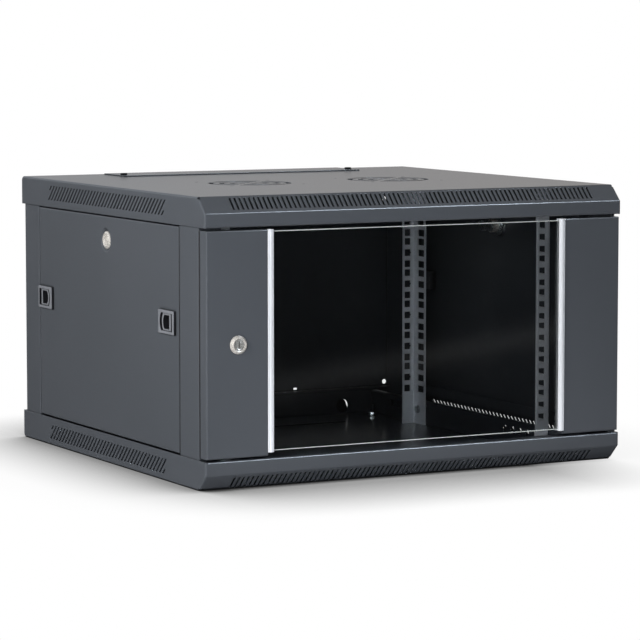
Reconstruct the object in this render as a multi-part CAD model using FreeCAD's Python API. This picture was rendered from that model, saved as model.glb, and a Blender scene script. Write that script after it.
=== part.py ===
import FreeCAD, Part
import math
import os
from FreeCAD import Vector

# Wall-type rack cabinet for 19 inch equipment, six units high, with a glass door.
# Millimetres. X to the right, Y to the back, Z up. The origin is on the floor,
# under the middle of the cabinet. Depths are measured from the front plane.

# Overall size
width = 600.0
depth = 580.0
height = 361.0

# Rack standard: unit height, the three holes of a unit, and the holes' place on a rail
unit_height = 44.45
hole_offsets = (6.35, 22.225, 38.1)
rail_side_inset = 55.0
rail_flange = 20.0
rail_hole_inset = 12.45
rail_hole_side = 9.5

# Folded steel
cover_sheet = 1.5
post_sheet = 1.5
panel_sheet = 1.2
rail_sheet = 2.0
beam_sheet = 1.5
bend = 2.5
small_bend = 2.0

# Top and bottom covers
cover_height = 37.5
chamfer = 20.0
foot_radius = 6.0
door_lip_depth = 19.0
lip_hem = 8.0
rear_lip = 5.0
landing_setback = 16.0
landing_height = 12.0
corner_relief = 3.0

# Vent slots in the covers
slot_width = 3.0
front_slots = 80
front_slot_margin = 42.065
front_slot_length = 19.4
front_slot_centre = 15.3
side_slots = 37
side_slot_margin = 36.44
side_slot_rise = 19.4
side_slot_stub = 6.0
side_slot_bottom = 8.5

# Posts
post_front_gap = 3.0
front_post_depth = 55.0
rear_post_depth = 50.0
rear_recess = 8.0
post_end_gap = 1.1
front_flange = 30.5
rear_flange = 28.5
landing_strip = 14.0

# Side panels
panel_gap = 1.5
panel_fold = 14.2
panel_seat_gap = 0.3
tongue_width = 24.0
tongue_reach = 5.0
tongue_inset = 25.0

# Back panel
back_sheet = 1.5
back_edge_gap = 1.5
back_fold = 12.0
wall_hole_radius = 3.5
wall_hole_side_inset = 34.0
wall_hole_end_inset = 7.2
leak_slot_inset = 181.0
leak_slot_width = 6.0
leak_slot_height = 3.0

# Beams under and over the rails
beam_height = 33.5
beam_foot = 17.0
beam_top_flange = 8.0
beam_front_gap = 5.0
beam_rear_gap = 6.0
beam_hole_side = 9.5
beam_hole_pitch = 20.0
beam_hole_height = 22.5
front_holes_start = 79.0
front_holes_count = 7
rear_holes_end = 69.0
rear_holes_count = 6

# Mounting rails
rack_floor = 45.5
rail_side = 33.0
rail_side_hole = 20.5
rail_bend = 3.0
front_rail_at = 84.0
rear_rail_inset = 134.0
rail_screw_inset = 15.0
rail_top_gap = 1.5
rail_notch = 1.8

# Door
door_depth = 18.0
door_side_gap = 2.0
door_bottom_gap = 3.0
door_top_gap = 3.5
door_sheet = 1.2
steel_width = 83.4
door_lip = 17.0
door_inner_wall = 6.8
trim_width = 9.5
trim_proud = 2.2
trim_bottom_gap = 4.5
trim_web = 2.0
trim_side_gap = 0.1
trim_end_gap = 0.5
glass_sheet = 4.0
glass_front = 2.0
glass_play = 0.2
glass_bottom_gap = 9.0
glass_top_gap = 5.5

# Door hinges
hinge_side = 8.5
hinge_back = 7.5
hinge_pin_radius = 3.0
hinge_play = 0.08
hinge_plate_length = 34.0
hinge_plate_sheet = 3.0
pin_travel = 10.0
pin_lever = 12.0
pin_bracket_drop = 30.0

# Door lock
lock_side = 45.0
lock_drop = 181.0
lock_body_radius = 9.0
lock_bezel_radius = 11.5
lock_bezel_proud = 4.5
lock_bezel_top = 8.2
plug_radius = 6.7
plug_play = 0.05
nut_radius = 13.0
nut_thickness = 5.0
cam_sheet = 2.0
cam_length = 28.0
cam_width = 14.0
cam_gap = 0.8
key_slot_width = 1.6
key_slot_length = 8.0
key_slot_depth = 5.0

# Side panel lock
panel_lock_drop = 31.4
dish_radius = 16.0
dish_depth = 2.5
panel_bezel_proud = 3.0
panel_cam_length = 28.0

# Slide latches of the side panels
latch_drop = 121.3
front_latch_edge = 8.5
rear_latch_edge = 2.5
latch_length = 45.0
latch_height = 30.0
latch_proud = 3.8
latch_wall = 2.5
latch_end_wall = 1.5
latch_depth = 12.0
latch_groove = 4.6
latch_crescent = 4.4
latch_pull = 4.0
latch_throw = 4.5
slider_play = 0.3
finger_depth = 9.0
finger_side = 18.0
finger_height = 20.0
finger_bulge = 4.0
bolt_height = 12.0
bolt_thickness = 3.0
bolt_play = 0.5

# Fans and cable entries
fan_side = 104.0
fan_at = 270.0
fan_radius = 55.0
fan_rings = 4
fan_slot = 7.0
fan_bar = 7.0
fan_spoke = 7.0
fan_screw_spacing = 105.0
fan_screw_radius = 2.25
top_plate_width = 366.0
bottom_plate_width = 320.0
cable_plate_inset = 17.0
cable_plate_depth = 68.0
cable_plate_sheet = 1.5
cable_opening_inset = 20.0
cable_opening_margin = 18.0
knob_radius = 6.0
knob_height = 3.2
knob_screw_radius = 2.0
knob_screw_length = 5.0
knob_side_inset = 8.0
knob_front_inset = 20.0
earth_hole_inset = 100.0
earth_hole_z = 14.0
earth_hole_radius = 9.0

# Rail screws and the earth stud
stud_radius = 3.0
thread_play = 0.05
pan_radius = 5.5
pan_height = 3.4
rail_screw_length = 10.5
earth_stud_side_inset = 70.0
earth_stud_back_inset = 37.0
earth_stud_length = 16.0

# Places that follow from the sizes above
front = -depth / 2
half = width / 2
inner_side = half - cover_sheet
floor_top = cover_sheet
roof_bottom = height - cover_sheet
rim = cover_height
roof_rim = height - cover_height
post_front = door_depth + post_front_gap
post_back = post_front + front_post_depth
rear_post_back = depth - rear_recess
rear_post_front = rear_post_back - rear_post_depth
panel_front = post_back + panel_gap
panel_back = rear_post_front - panel_gap
panel_centre = (panel_front + panel_back) / 2
panel_bottom = rim + panel_gap
panel_top = roof_rim - panel_gap
landing_side = half - landing_setback
front_slot_pitch = (width - 2 * front_slot_margin) / (front_slots - 1)
side_slot_pitch = (panel_back - panel_front - 2 * side_slot_margin) / (side_slots + 1)
beam_side = half - rail_side_inset
rail_inner = beam_side - rail_flange
rail_hole_x = beam_side - rail_hole_inset
rear_rail_at = depth - rear_rail_inset
units = int((height - 2 * rack_floor) // unit_height)
panel_lock_height = panel_top - panel_lock_drop
latch_height_at = panel_top - latch_drop
lock_height = height - lock_drop
door_side = half - door_side_gap
door_bottom = rim + door_bottom_gap
door_top = roof_rim - door_top_gap
door_steel_side = door_side - steel_width
trim_inner = door_steel_side - trim_side_gap - trim_width
hinge_x = half - hinge_side
plate_end = -front - cable_plate_inset
plate_start = plate_end - cable_plate_depth


def block(x0, x1, y0, y1, z0, z1):
    """A box between two corners, given in any order."""
    low = Vector(min(x0, x1), min(y0, y1), min(z0, z1))
    return Part.makeBox(abs(x1 - x0), abs(y1 - y0), abs(z1 - z0), low)


def rod(radius, start, end):
    """A round bar from one point to another."""
    along = end.sub(start)
    return Part.makeCylinder(radius, along.Length, start, along)


def cone(radius_start, radius_end, start, end):
    """A tapered round bar from one point to another."""
    along = end.sub(start)
    return Part.makeCone(radius_start, radius_end, along.Length, start, along)


def prism(corners, along):
    """A flat outline, given by its corners, pushed along a direction."""
    return Part.Face(Part.makePolygon(corners + corners[:1])).extrude(along)


def left_copy(shape):
    """The mirror image of a right-hand piece on the left side."""
    return shape.mirror(Vector(0, 0, 0), Vector(1, 0, 0))


def upper_copy(shape):
    """The mirror image of a lower piece about half the cabinet's height."""
    return shape.mirror(Vector(0, 0, height / 2), Vector(0, 0, 1))


def offset_corner(before, corner, after, shift):
    """A corner of a folded sheet's other face, shifted to the left of the path."""
    first = (corner - before).normalize()
    second = (after - corner).normalize()
    left_first = Vector(-first.y, first.x, 0)
    left_second = Vector(-second.y, second.x, 0)
    share = 1 + left_first.dot(left_second)
    return corner + (left_first + left_second) * (shift / share)


def rounded_path(points, radii):
    """Straight runs through the points, joined by tangent arcs of the given radii."""
    edges = []
    start = points[0]
    for index in range(1, len(points) - 1):
        corner = points[index]
        back = (points[index - 1] - corner).normalize()
        ahead = (points[index + 1] - corner).normalize()
        half_angle = back.getAngle(ahead) / 2
        reach = radii[index] / math.tan(half_angle)
        arc_start = corner + back * reach
        arc_end = corner + ahead * reach
        to_centre = (back + ahead).normalize() * (radii[index] / math.sin(half_angle))
        middle = corner + to_centre * (1 - math.sin(half_angle))
        edges.append(Part.makeLine(start, arc_start))
        edges.append(Part.Arc(arc_start, middle, arc_end).toShape())
        start = arc_end
    edges.append(Part.makeLine(start, points[-1]))
    return edges


def folded_section(points, sheet, outer_radius):
    """The closed section of a folded sheet, in the XY plane.

    The points follow one face of the sheet, and the metal lies to the left of
    the path. The outside of every bend has the outer radius.
    """
    path = [Vector(x, y, 0) for x, y in points]
    first = (path[1] - path[0]).normalize()
    last = (path[-1] - path[-2]).normalize()
    other = [path[0] + Vector(-first.y, first.x, 0) * sheet]
    radii = [0]
    other_radii = [0]
    for index in range(1, len(path) - 1):
        before, corner, after = path[index - 1], path[index], path[index + 1]
        turn = (corner - before).cross(after - corner).z
        other.append(offset_corner(before, corner, after, sheet))
        radii.append(outer_radius if turn > 0 else outer_radius - sheet)
        other_radii.append(outer_radius - sheet if turn > 0 else outer_radius)
    other.append(path[-1] + Vector(-last.y, last.x, 0) * sheet)
    near = rounded_path(path, radii + [0])
    far = rounded_path(other, other_radii + [0])
    ends = [Part.makeLine(path[0], other[0]), Part.makeLine(path[-1], other[-1])]
    wire = Part.Wire(Part.__sortEdges__(near + far + ends))
    return Part.Face(wire)


def upright_fold(points, sheet, outer_radius, low, high):
    """A folded sheet that runs upright, with its section seen from above."""
    section = folded_section(points, sheet, outer_radius)
    section.translate(Vector(0, 0, low))
    return section.extrude(Vector(0, 0, high - low))


def lengthwise_fold(points, sheet, outer_radius, start, end):
    """A folded sheet that runs front to back. Its section's points are (x, z)."""
    section = folded_section(points, sheet, outer_radius)
    section.rotate(Vector(0, 0, 0), Vector(1, 0, 0), 90)
    section.translate(Vector(0, end, 0))
    return section.extrude(Vector(0, start - end, 0))


def cover_tray():
    """The bottom cover's bare folded tray: a sloped front edge and rounded bends."""
    outline = [
        Vector(-half, front, cover_height),
        Vector(-half, front, chamfer),
        Vector(-half, front + chamfer, 0),
        Vector(-half, -front, 0),
        Vector(-half, -front, cover_height),
    ]
    body = prism(outline, Vector(width, 0, 0))
    folds = []
    rear_edge = []
    for edge in body.Edges:
        middle = edge.CenterOfMass
        if abs(middle.z - cover_height) < 0.01:
            continue
        if abs(middle.z) < 0.01 and abs(middle.y + front) < 0.01:
            rear_edge.append(edge)
        else:
            folds.append(edge)
    body = body.makeFillet(foot_radius, rear_edge)
    folds = []
    for edge in body.Edges:
        middle = edge.CenterOfMass
        at_rim = abs(middle.z - cover_height) < 0.01
        near_foot = middle.y > -front - foot_radius - 0.01 and middle.z < foot_radius + 0.01
        at_front = middle.y < front + chamfer + 0.01
        if not at_rim and not near_foot and (at_front or abs(middle.x) > half - 0.01):
            folds.append(edge)
    return body, folds


def front_slot_cutters():
    """The row of upright slots through the sloped front edge of the bottom cover."""
    slope = Vector(0, -1, 1).normalize()
    outward = Vector(0, -1, -1).normalize()
    lower_edge = Vector(0, front + chamfer, 0)
    cutters = []
    for index in range(front_slots):
        x = (index - (front_slots - 1) / 2) * front_slot_pitch
        middle = lower_edge + slope * (chamfer * math.sqrt(2) - front_slot_centre)
        low = middle - slope * (front_slot_length / 2)
        high = middle + slope * (front_slot_length / 2)
        left = Vector(x - slot_width / 2, 0, 0)
        right = Vector(x + slot_width / 2, 0, 0)
        start = outward * (-3 * cover_sheet)
        corners = [low + left + start, low + right + start, high + right + start, high + left + start]
        cutters.append(prism(corners, outward * (6 * cover_sheet)))
    return cutters


def side_slot_cutters(side, low, lean):
    """The row of slanted slots through one side skirt, with a short slot at each end.

    side is 1 on the right and -1 on the left. lean is the way that the upper
    end of each slot leans, 1 to the back and -1 to the front.
    """
    across = slot_width * math.sqrt(2) / 2
    start = side * (half - 3 * cover_sheet)
    through = Vector(side * 6 * cover_sheet, 0, 0)
    cutters = []
    for index in range(side_slots + 2):
        y = front + panel_centre + (index - (side_slots + 1) / 2) * side_slot_pitch
        bottom, top = low, low + side_slot_rise
        if index in (0, side_slots + 1):
            upper_stub = (index == 0) == (lean > 0)
            if upper_stub:
                bottom = top - side_slot_stub
            else:
                top = bottom + side_slot_stub
        middle = low + side_slot_rise / 2
        y_bottom = y + lean * (bottom - middle)
        y_top = y + lean * (top - middle)
        corners = [
            Vector(start, y_bottom - across, bottom),
            Vector(start, y_bottom + across, bottom),
            Vector(start, y_top + across, top),
            Vector(start, y_top - across, top),
        ]
        cutters.append(prism(corners, through))
    return cutters


def landing(side):
    """The lip of a side skirt and the upstand that the side panel closes against."""
    lip_front = front + panel_front
    lip_back = front + panel_back
    strip_front = front + post_back + landing_strip + panel_gap
    strip_back = front + rear_post_front - landing_strip - panel_gap
    outer = side * inner_side
    inner = side * landing_side
    lip = block(inner, outer, lip_front, lip_back, rim - cover_sheet, rim)
    upstand = block(
        side * (landing_side - cover_sheet), inner, strip_front, strip_back,
        rim - cover_sheet, rim + landing_height,
    )
    return [lip, upstand]


def tongue_places():
    """The middle of each tongue of a side panel, front and back."""
    near = front + post_back + landing_strip + tongue_inset
    far = front + rear_post_front - landing_strip - tongue_inset
    return [near, far]


def rim_bend_cutter():
    """The cutter that rounds the bend between the front face and the door lip."""
    centre = Vector(bend - half, front + bend, rim - bend)
    out = Vector(0, -bend, bend)
    arc = Part.Arc(
        centre + Vector(0, -bend, 0), centre + out * math.sqrt(0.5), centre + Vector(0, 0, bend),
    ).toShape()
    corner = Part.makePolygon([centre + Vector(0, 0, bend), centre + out, centre + Vector(0, -bend, 0)])
    outline = Part.Wire(Part.__sortEdges__([arc] + corner.Edges))
    return Part.Face(outline).extrude(Vector(width - 2 * bend, 0, 0))


def cover_shell(lean_right, lean_left):
    """A bottom cover without its openings: tray, lips, landings, studs and slots."""
    body, folds = cover_tray()
    body = body.makeFillet(bend, folds)
    open_side = [face for face in body.Faces if face.CenterOfMass.z > cover_height - 0.01]
    shell = body.makeThickness(open_side, -cover_sheet, 0.001)
    lip_back = front + door_lip_depth
    pieces = [
        block(-inner_side, inner_side, front + cover_sheet, lip_back, rim - cover_sheet, rim),
        block(
            -inner_side, inner_side, lip_back - cover_sheet, lip_back,
            rim - lip_hem, rim - cover_sheet,
        ),
        block(
            -inner_side, inner_side, -front - cover_sheet - rear_lip, -front - cover_sheet,
            rim - cover_sheet, rim,
        ),
    ]
    pieces += landing(1) + landing(-1)
    shell = shell.fuse(pieces).removeSplitter()
    cutters = front_slot_cutters() + [rim_bend_cutter()]
    cutters += side_slot_cutters(1, side_slot_bottom, lean_right)
    cutters += side_slot_cutters(-1, side_slot_bottom, lean_left)
    for side in (1, -1):
        for y in tongue_places():
            cutters.append(block(
                side * (landing_side + 1), side * (landing_side - 2 * cover_sheet),
                y - tongue_width / 2 - 1, y + tongue_width / 2 + 1,
                panel_bottom - panel_seat_gap, panel_bottom + panel_sheet + panel_seat_gap,
            ))
        cutters.append(block(
            side * (half + 1), side * (half - corner_relief),
            front + chamfer - corner_relief, front + chamfer + corner_relief / 2,
            -1, corner_relief,
        ))
    return shell.cut(Part.makeCompound(cutters))


def cable_opening(plate_width, low, high):
    """The cutter for a cable entry at the back, under its cover plate."""
    reach = plate_width / 2 - cable_opening_inset
    return block(
        -reach, reach, plate_start + cable_opening_margin, plate_end - cable_opening_margin / 2,
        low, high,
    )


def bottom_cover():
    """The folded bottom tray, with its cable entry, hinge hole and earth cable hole."""
    shell = cover_shell(1, -1)
    foot = Vector(half - earth_stud_side_inset, -front - earth_stud_back_inset, floor_top)
    shell = shell.fuse(rod(stud_radius, foot, foot + Vector(0, 0, earth_stud_length)))
    cutters = [
        cable_opening(bottom_plate_width, -1, floor_top + 1), hinge_hole_cutter(rim - lip_hem, rim + 1),
    ]
    x = half - earth_hole_inset
    cutters.append(rod(
        earth_hole_radius, Vector(x, -front - 3 * cover_sheet, earth_hole_z), Vector(x, -front + 1, earth_hole_z),
    ))
    return shell.cut(cutters)


def fan_grille(x, y):
    """The cutters of one fan grille: rings of curved slots between four spokes."""
    cutters = []
    low, high = roof_bottom - 1, height + 1
    up = Vector(0, 0, high - low)
    outer = fan_radius
    for ring in range(fan_rings):
        inner = outer - fan_slot
        ring_solid = rod(outer, Vector(x, y, low), Vector(x, y, high))
        ring_solid = ring_solid.cut(rod(inner, Vector(x, y, low), Vector(x, y, high)))
        spokes = [
            block(x - outer, x + outer, y - fan_spoke / 2, y + fan_spoke / 2, low, high),
            block(x - fan_spoke / 2, x + fan_spoke / 2, y - outer, y + outer, low, high),
        ]
        ring_solid = ring_solid.cut(spokes)
        ring_solid.rotate(Vector(x, y, 0), Vector(0, 0, 1), 45)
        cutters += ring_solid.Solids
        outer = inner - fan_bar
    for sx in (-1, 1):
        for sy in (-1, 1):
            corner = Vector(x + sx * fan_screw_spacing / 2, y + sy * fan_screw_spacing / 2, low)
            cutters.append(rod(fan_screw_radius, corner, corner + up))
    return cutters


def top_cover():
    """The folded top tray, with two fan grilles, the cable entry and the hinge hole."""
    shell = upper_copy(cover_shell(-1, 1))
    cutters = [cable_opening(top_plate_width, roof_bottom - 1, height + 1)]
    cutters.append(hinge_hole_cutter(roof_rim - 1, roof_rim + lip_hem))
    cutters += knob_hole_cutters()
    for side in (-1, 1):
        cutters += fan_grille(side * fan_side, front + fan_at)
    return shell.cut(Part.makeCompound(cutters))


def hinge_hole_cutter(low, high):
    """The hole for a hinge pin through a cover's door lip."""
    y = front + hinge_back
    return rod(hinge_pin_radius + hinge_play, Vector(hinge_x, y, low), Vector(hinge_x, y, high))


def end_tabs(y_from, y_to, inner_x):
    """The tabs at a right post's two ends, which are bolted flat to the covers."""
    outer_x = inner_side - post_end_gap
    return [
        block(inner_x, outer_x, y_from + post_end_gap, y_to - post_end_gap, low, low + post_sheet)
        for low in (floor_top, roof_bottom - post_sheet)
    ]


def bolt_hole(y_from, y_to):
    """The cutter for the latch bolt's hole in a right post's landing fold."""
    outer = inner_side - bolt_inset() + bolt_play
    return block(
        outer - bolt_thickness - 2 * bolt_play, outer, y_from, y_to,
        latch_height_at - bolt_height / 2 - bolt_play, latch_height_at + bolt_height / 2 + bolt_play,
    )


def bolt_inset():
    """How deep the outer face of a latch bolt lies behind the side panel's face."""
    return latch_depth / 2


def front_post():
    """The right front post, a folded upright with a landing for the side panel."""
    y0, y1 = front + post_front, front + post_back
    points = [
        (inner_side - front_flange, y0), (inner_side, y0), (inner_side, y1),
        (landing_side, y1), (landing_side, y1 + landing_strip),
    ]
    post = upright_fold(points, post_sheet, small_bend, floor_top + post_end_gap, roof_bottom - post_end_gap)
    post = post.fuse(end_tabs(y0, y1, inner_side - front_flange)).removeSplitter()
    return post.cut(bolt_hole(y1 - 2 * post_sheet, y1 + 1))


def rear_post():
    """The right rear post, with the flange that the back panel is screwed to."""
    y0, y1 = front + rear_post_front, front + rear_post_back
    points = [
        (landing_side, y0 - landing_strip), (landing_side, y0), (inner_side, y0),
        (inner_side, y1), (inner_side - rear_flange, y1),
    ]
    post = upright_fold(points, post_sheet, small_bend, floor_top + post_end_gap, roof_bottom - post_end_gap)
    post = post.fuse(end_tabs(y0, y1, inner_side - rear_flange)).removeSplitter()
    return post.cut(bolt_hole(y0 - 1, y0 + 2 * post_sheet))


def wall_hole_places():
    """The four wall-fixing holes of the back panel."""
    heights = (panel_bottom + wall_hole_end_inset, panel_top - wall_hole_end_inset)
    return [(side * (half - wall_hole_side_inset), z) for side in (-1, 1) for z in heights]


def back_panel():
    """The screwed back panel, stiffened by a fold along its top and bottom edges."""
    y0 = front + rear_post_back
    edge = inner_side - back_edge_gap
    fold_edge = inner_side - rear_flange - 1
    panel = block(-edge, edge, y0, y0 + back_sheet, panel_bottom, panel_top)
    low_fold = block(-fold_edge, fold_edge, y0 - back_fold, y0, panel_bottom, panel_bottom + back_sheet)
    high_fold = block(-fold_edge, fold_edge, y0 - back_fold, y0, panel_top - back_sheet, panel_top)
    panel = panel.fuse([low_fold, high_fold]).removeSplitter()
    cutters = []
    for x, z in wall_hole_places():
        cutters.append(rod(wall_hole_radius, Vector(x, y0 - 1, z), Vector(x, y0 + back_sheet + 1, z)))
    for side in (-1, 1):
        x = side * (half - leak_slot_inset)
        low = panel_bottom + 2 * back_sheet
        cutters.append(block(
            x - leak_slot_width / 2, x + leak_slot_width / 2, y0 - 1, y0 + back_sheet + 1,
            low, low + leak_slot_height,
        ))
    return panel.cut(cutters)


def pan_screw(seat, outward, head_radius, head_height, radius, length):
    """A pan-head screw: its head stands outward from the seat, its shank goes in."""
    head = rod(head_radius, seat, seat + outward * head_height)
    shank = rod(radius, seat, seat - outward * length)
    return head.fuse(shank).removeSplitter()


def beam_hole_places():
    """The depths of the square holes along a beam, a front row and a rear row."""
    near = [front + front_holes_start + step * beam_hole_pitch for step in range(front_holes_count)]
    far = [-front - rear_holes_end - step * beam_hole_pitch for step in range(rear_holes_count)]
    return near + far


def lower_beam():
    """The lower right beam: a folded channel with square holes for the rails' screws."""
    points = [
        (beam_side + beam_foot, floor_top), (beam_side, floor_top),
        (beam_side, floor_top + beam_height),
        (beam_side + beam_top_flange, floor_top + beam_height),
    ]
    points.reverse()
    start = front + door_lip_depth + beam_front_gap
    end = -front - beam_rear_gap
    beam = lengthwise_fold(points, beam_sheet, small_bend, start, end)
    reach = beam_hole_side / 2
    cutters = []
    for y in beam_hole_places():
        cutters.append(block(
            beam_side - 1, beam_side + beam_sheet + 1, y - reach, y + reach,
            beam_hole_height - reach, beam_hole_height + reach,
        ))
    return beam.cut(Part.makeCompound(cutters))


def hole_heights():
    """The heights of all square holes, three in each rack unit."""
    return [
        rack_floor + unit * unit_height + offset
        for unit in range(units) for offset in hole_offsets
    ]


def right_rail(corner_y, inward):
    """A right mounting rail. inward is 1 where its side flange runs to the back."""
    points = [
        (rail_inner, corner_y), (beam_side, corner_y), (beam_side, corner_y + inward * rail_side),
    ]
    if inward < 0:
        points.reverse()
    low, high = floor_top, roof_bottom - rail_top_gap
    rail = upright_fold(points, rail_sheet, rail_bend, low, high)
    reach = rail_hole_side / 2
    side_y = corner_y + inward * rail_side_hole
    cutters = []
    for index, z in enumerate(hole_heights()):
        cutters.append(block(
            rail_hole_x - reach, rail_hole_x + reach, corner_y - inward, corner_y + inward * (rail_sheet + 1),
            z - reach, z + reach,
        ))
        cutters.append(block(
            beam_side - rail_sheet - 1, beam_side + 1, side_y - reach, side_y + reach,
            z - reach, z + reach,
        ))
        if index % 3 == 1:
            cutters.append(prism([
                Vector(rail_hole_x + reach - 1, corner_y - inward, z - rail_notch - 1),
                Vector(rail_hole_x + reach + rail_notch, corner_y - inward, z),
                Vector(rail_hole_x + reach - 1, corner_y - inward, z + rail_notch + 1),
            ], Vector(0, inward * (rail_sheet + 2), 0)))
    for x, y, z, direction in rail_screw_places():
        if x > 0 and abs(y - corner_y) < rail_side:
            cutters.append(rod(stud_radius + thread_play, Vector(x - 1, y, z), Vector(x + rail_sheet + 1, y, z)))
    return rail.cut(Part.makeCompound(cutters))


def rail_screw_places():
    """Each rail screw's seat on its rail, with the way that its head points."""
    seats = []
    for side in (1, -1):
        for y in (front_rail_at + rail_screw_inset, rear_rail_at - rail_screw_inset):
            for z in (beam_hole_height, height - beam_hole_height):
                seats.append((side * (beam_side - rail_sheet), front + y, z, -side))
    return seats


def rail_screws():
    """The eight pan-head screws that clamp the rails to the beams."""
    screws = []
    for x, y, z, direction in rail_screw_places():
        screws.append(pan_screw(
            Vector(x, y, z), Vector(direction, 0, 0), pan_radius, pan_height, stud_radius, rail_screw_length,
        ))
    return Part.makeCompound(screws)


def cable_plate(plate_width, low):
    """A cable entry's cover plate, lying on the sheet at the given height."""
    return block(
        -plate_width / 2, plate_width / 2, plate_start, plate_end, low, low + cable_plate_sheet,
    )


def knob_places():
    """Where the two hand-turned screws stand on the top cable plate."""
    top = height + cable_plate_sheet
    reach = top_plate_width / 2 - knob_side_inset
    return [Vector(side * reach, plate_start + knob_front_inset, top) for side in (-1, 1)]


def knob_hole_cutters():
    """The cutters of the knobs' screw holes, through the plate and the top cover."""
    return [
        rod(knob_screw_radius + thread_play, place + Vector(0, 0, 1), place - Vector(0, 0, knob_screw_length + 1))
        for place in knob_places()
    ]


def cable_plate_screws():
    """The two hand-turned screws that hold the top cable plate down."""
    up = Vector(0, 0, 1)
    return Part.makeCompound([
        pan_screw(place, up, knob_radius, knob_height, knob_screw_radius, knob_screw_length)
        for place in knob_places()
    ])


def door_steel():
    """The right steel panel of the door: a shallow tray whose inner edge holds the trim."""
    y0 = front
    x0, x1 = door_steel_side, door_side
    body = block(x0, x1, y0, y0 + door_depth, door_bottom, door_top)
    outer_edges = [
        edge for edge in body.Edges
        if abs(edge.CenterOfMass.y - y0) < 0.01 and abs(edge.CenterOfMass.x - x0) > 0.01
    ]
    body = body.makeFillet(small_bend, outer_edges)
    rear = [face for face in body.Faces if face.CenterOfMass.y > y0 + door_depth - 0.01]
    tray = body.makeThickness(rear, -door_sheet, 0.001)
    low, high = door_bottom + door_sheet, door_top - door_sheet
    tray = tray.cut(block(x0 - 1, x0 + door_sheet, y0 + door_inner_wall, y0 + door_depth + 1, low, high))
    lip = block(
        x0, x0 + door_lip, y0 + door_inner_wall - door_sheet, y0 + door_inner_wall,
        low, high,
    )
    return tray.fuse(lip).removeSplitter()


def door_right_panel():
    """The right steel panel, with the hinge pin holes and the bracket of the upper pin."""
    panel = door_steel()
    y = front + hinge_back
    bracket_top = door_top - pin_bracket_drop
    bracket = block(
        hinge_x - 10, door_side - door_sheet, front + door_sheet, front + door_depth - 2,
        bracket_top - hinge_plate_sheet, bracket_top,
    )
    panel = panel.fuse(bracket).removeSplitter()
    holes = [
        rod(hinge_pin_radius + hinge_play, Vector(hinge_x, y, bracket_top - 10), Vector(hinge_x, y, door_top + 1)),
        rod(hinge_pin_radius + hinge_play, Vector(hinge_x, y, door_bottom - 1), Vector(hinge_x, y, door_bottom + 10)),
    ]
    return panel.cut(holes)


def door_left_panel():
    """The left steel panel, with the round hole for the lock."""
    panel = left_copy(door_steel())
    x = lock_side - half
    hole = rod(
        lock_body_radius + thread_play, Vector(x, front - 1, lock_height),
        Vector(x, front + 2 * door_sheet, lock_height),
    )
    return panel.cut(hole)


def door_trim():
    """The right trim strip, an extruded section that grips the edge of the glass."""
    outer = trim_inner + trim_width
    y0 = front
    low, high = door_bottom + trim_bottom_gap, door_top
    bead_back = y0 + glass_front - glass_play
    leg_front = y0 + glass_front + glass_sheet + glass_play
    leg_back = leg_front + trim_web
    bead_side = y0 - trim_proud / 2
    crest = Vector((trim_inner + outer) / 2, y0 - trim_proud, low)
    arc = Part.Arc(Vector(trim_inner, bead_side, low), crest, Vector(outer, bead_side, low)).toShape()
    corners = [
        Vector(outer, bead_side, low), Vector(outer, y0 + door_inner_wall, low),
        Vector(outer + door_lip, y0 + door_inner_wall, low), Vector(outer + door_lip, leg_back, low),
        Vector(trim_inner, leg_back, low), Vector(trim_inner, leg_front, low),
        Vector(outer - trim_web, leg_front, low), Vector(outer - trim_web, bead_back, low),
        Vector(trim_inner, bead_back, low), Vector(trim_inner, bead_side, low),
    ]
    outline = Part.Wire(Part.__sortEdges__([arc] + Part.makePolygon(corners).Edges))
    strip = Part.Face(outline).extrude(Vector(0, 0, high - low))
    flange_high = door_top - door_sheet - trim_end_gap
    return strip.cut(block(
        outer + trim_side_gap / 2, outer + door_lip + 1, y0, leg_back + 1, flange_high, high + 1,
    ))


def door_glass():
    """The clear glass pane, held between the two trim strips."""
    edge = trim_inner + trim_width - trim_web - glass_play
    y0 = front + glass_front
    return block(-edge, edge, y0, y0 + glass_sheet, rim + glass_bottom_gap, roof_rim - glass_top_gap)


def hinge_plate(low):
    """A thick plate that carries a hinge pin, welded inside a cover's door lip."""
    y0 = front + cover_sheet
    plate = block(
        inner_side - hinge_plate_length, inner_side - 0.5, y0 + 0.5,
        front + door_lip_depth - cover_sheet, low, low + hinge_plate_sheet,
    )
    return plate.cut(hinge_hole_cutter(low - 1, low + hinge_plate_sheet + 1))


def lower_hinge_pin():
    """The lower hinge pin: its collar carries the door, its ends sit in plate and door."""
    y = front + hinge_back
    low = rim - cover_sheet - hinge_plate_sheet
    pin = rod(hinge_pin_radius, Vector(hinge_x, y, low), Vector(hinge_x, y, door_bottom + 8))
    collar = rod(2 * hinge_pin_radius, Vector(hinge_x, y, rim + 0.1), Vector(hinge_x, y, door_bottom - 0.1))
    return pin.fuse(collar).removeSplitter()


def upper_hinge_pin():
    """The upper hinge pin with its lever, pulled down to lift the door off."""
    y = front + hinge_back
    low = door_top - pin_bracket_drop - hinge_plate_sheet - 3
    high = roof_rim + cover_sheet + hinge_plate_sheet
    pin = rod(hinge_pin_radius, Vector(hinge_x, y, low), Vector(hinge_x, y, high))
    lever_z = door_top - door_sheet - pin_travel / 2 - hinge_pin_radius
    lever = rod(
        hinge_pin_radius * 0.7, Vector(hinge_x, y, lever_z), Vector(hinge_x - pin_lever, y, lever_z),
    )
    return pin.fuse(lever).removeSplitter()


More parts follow.
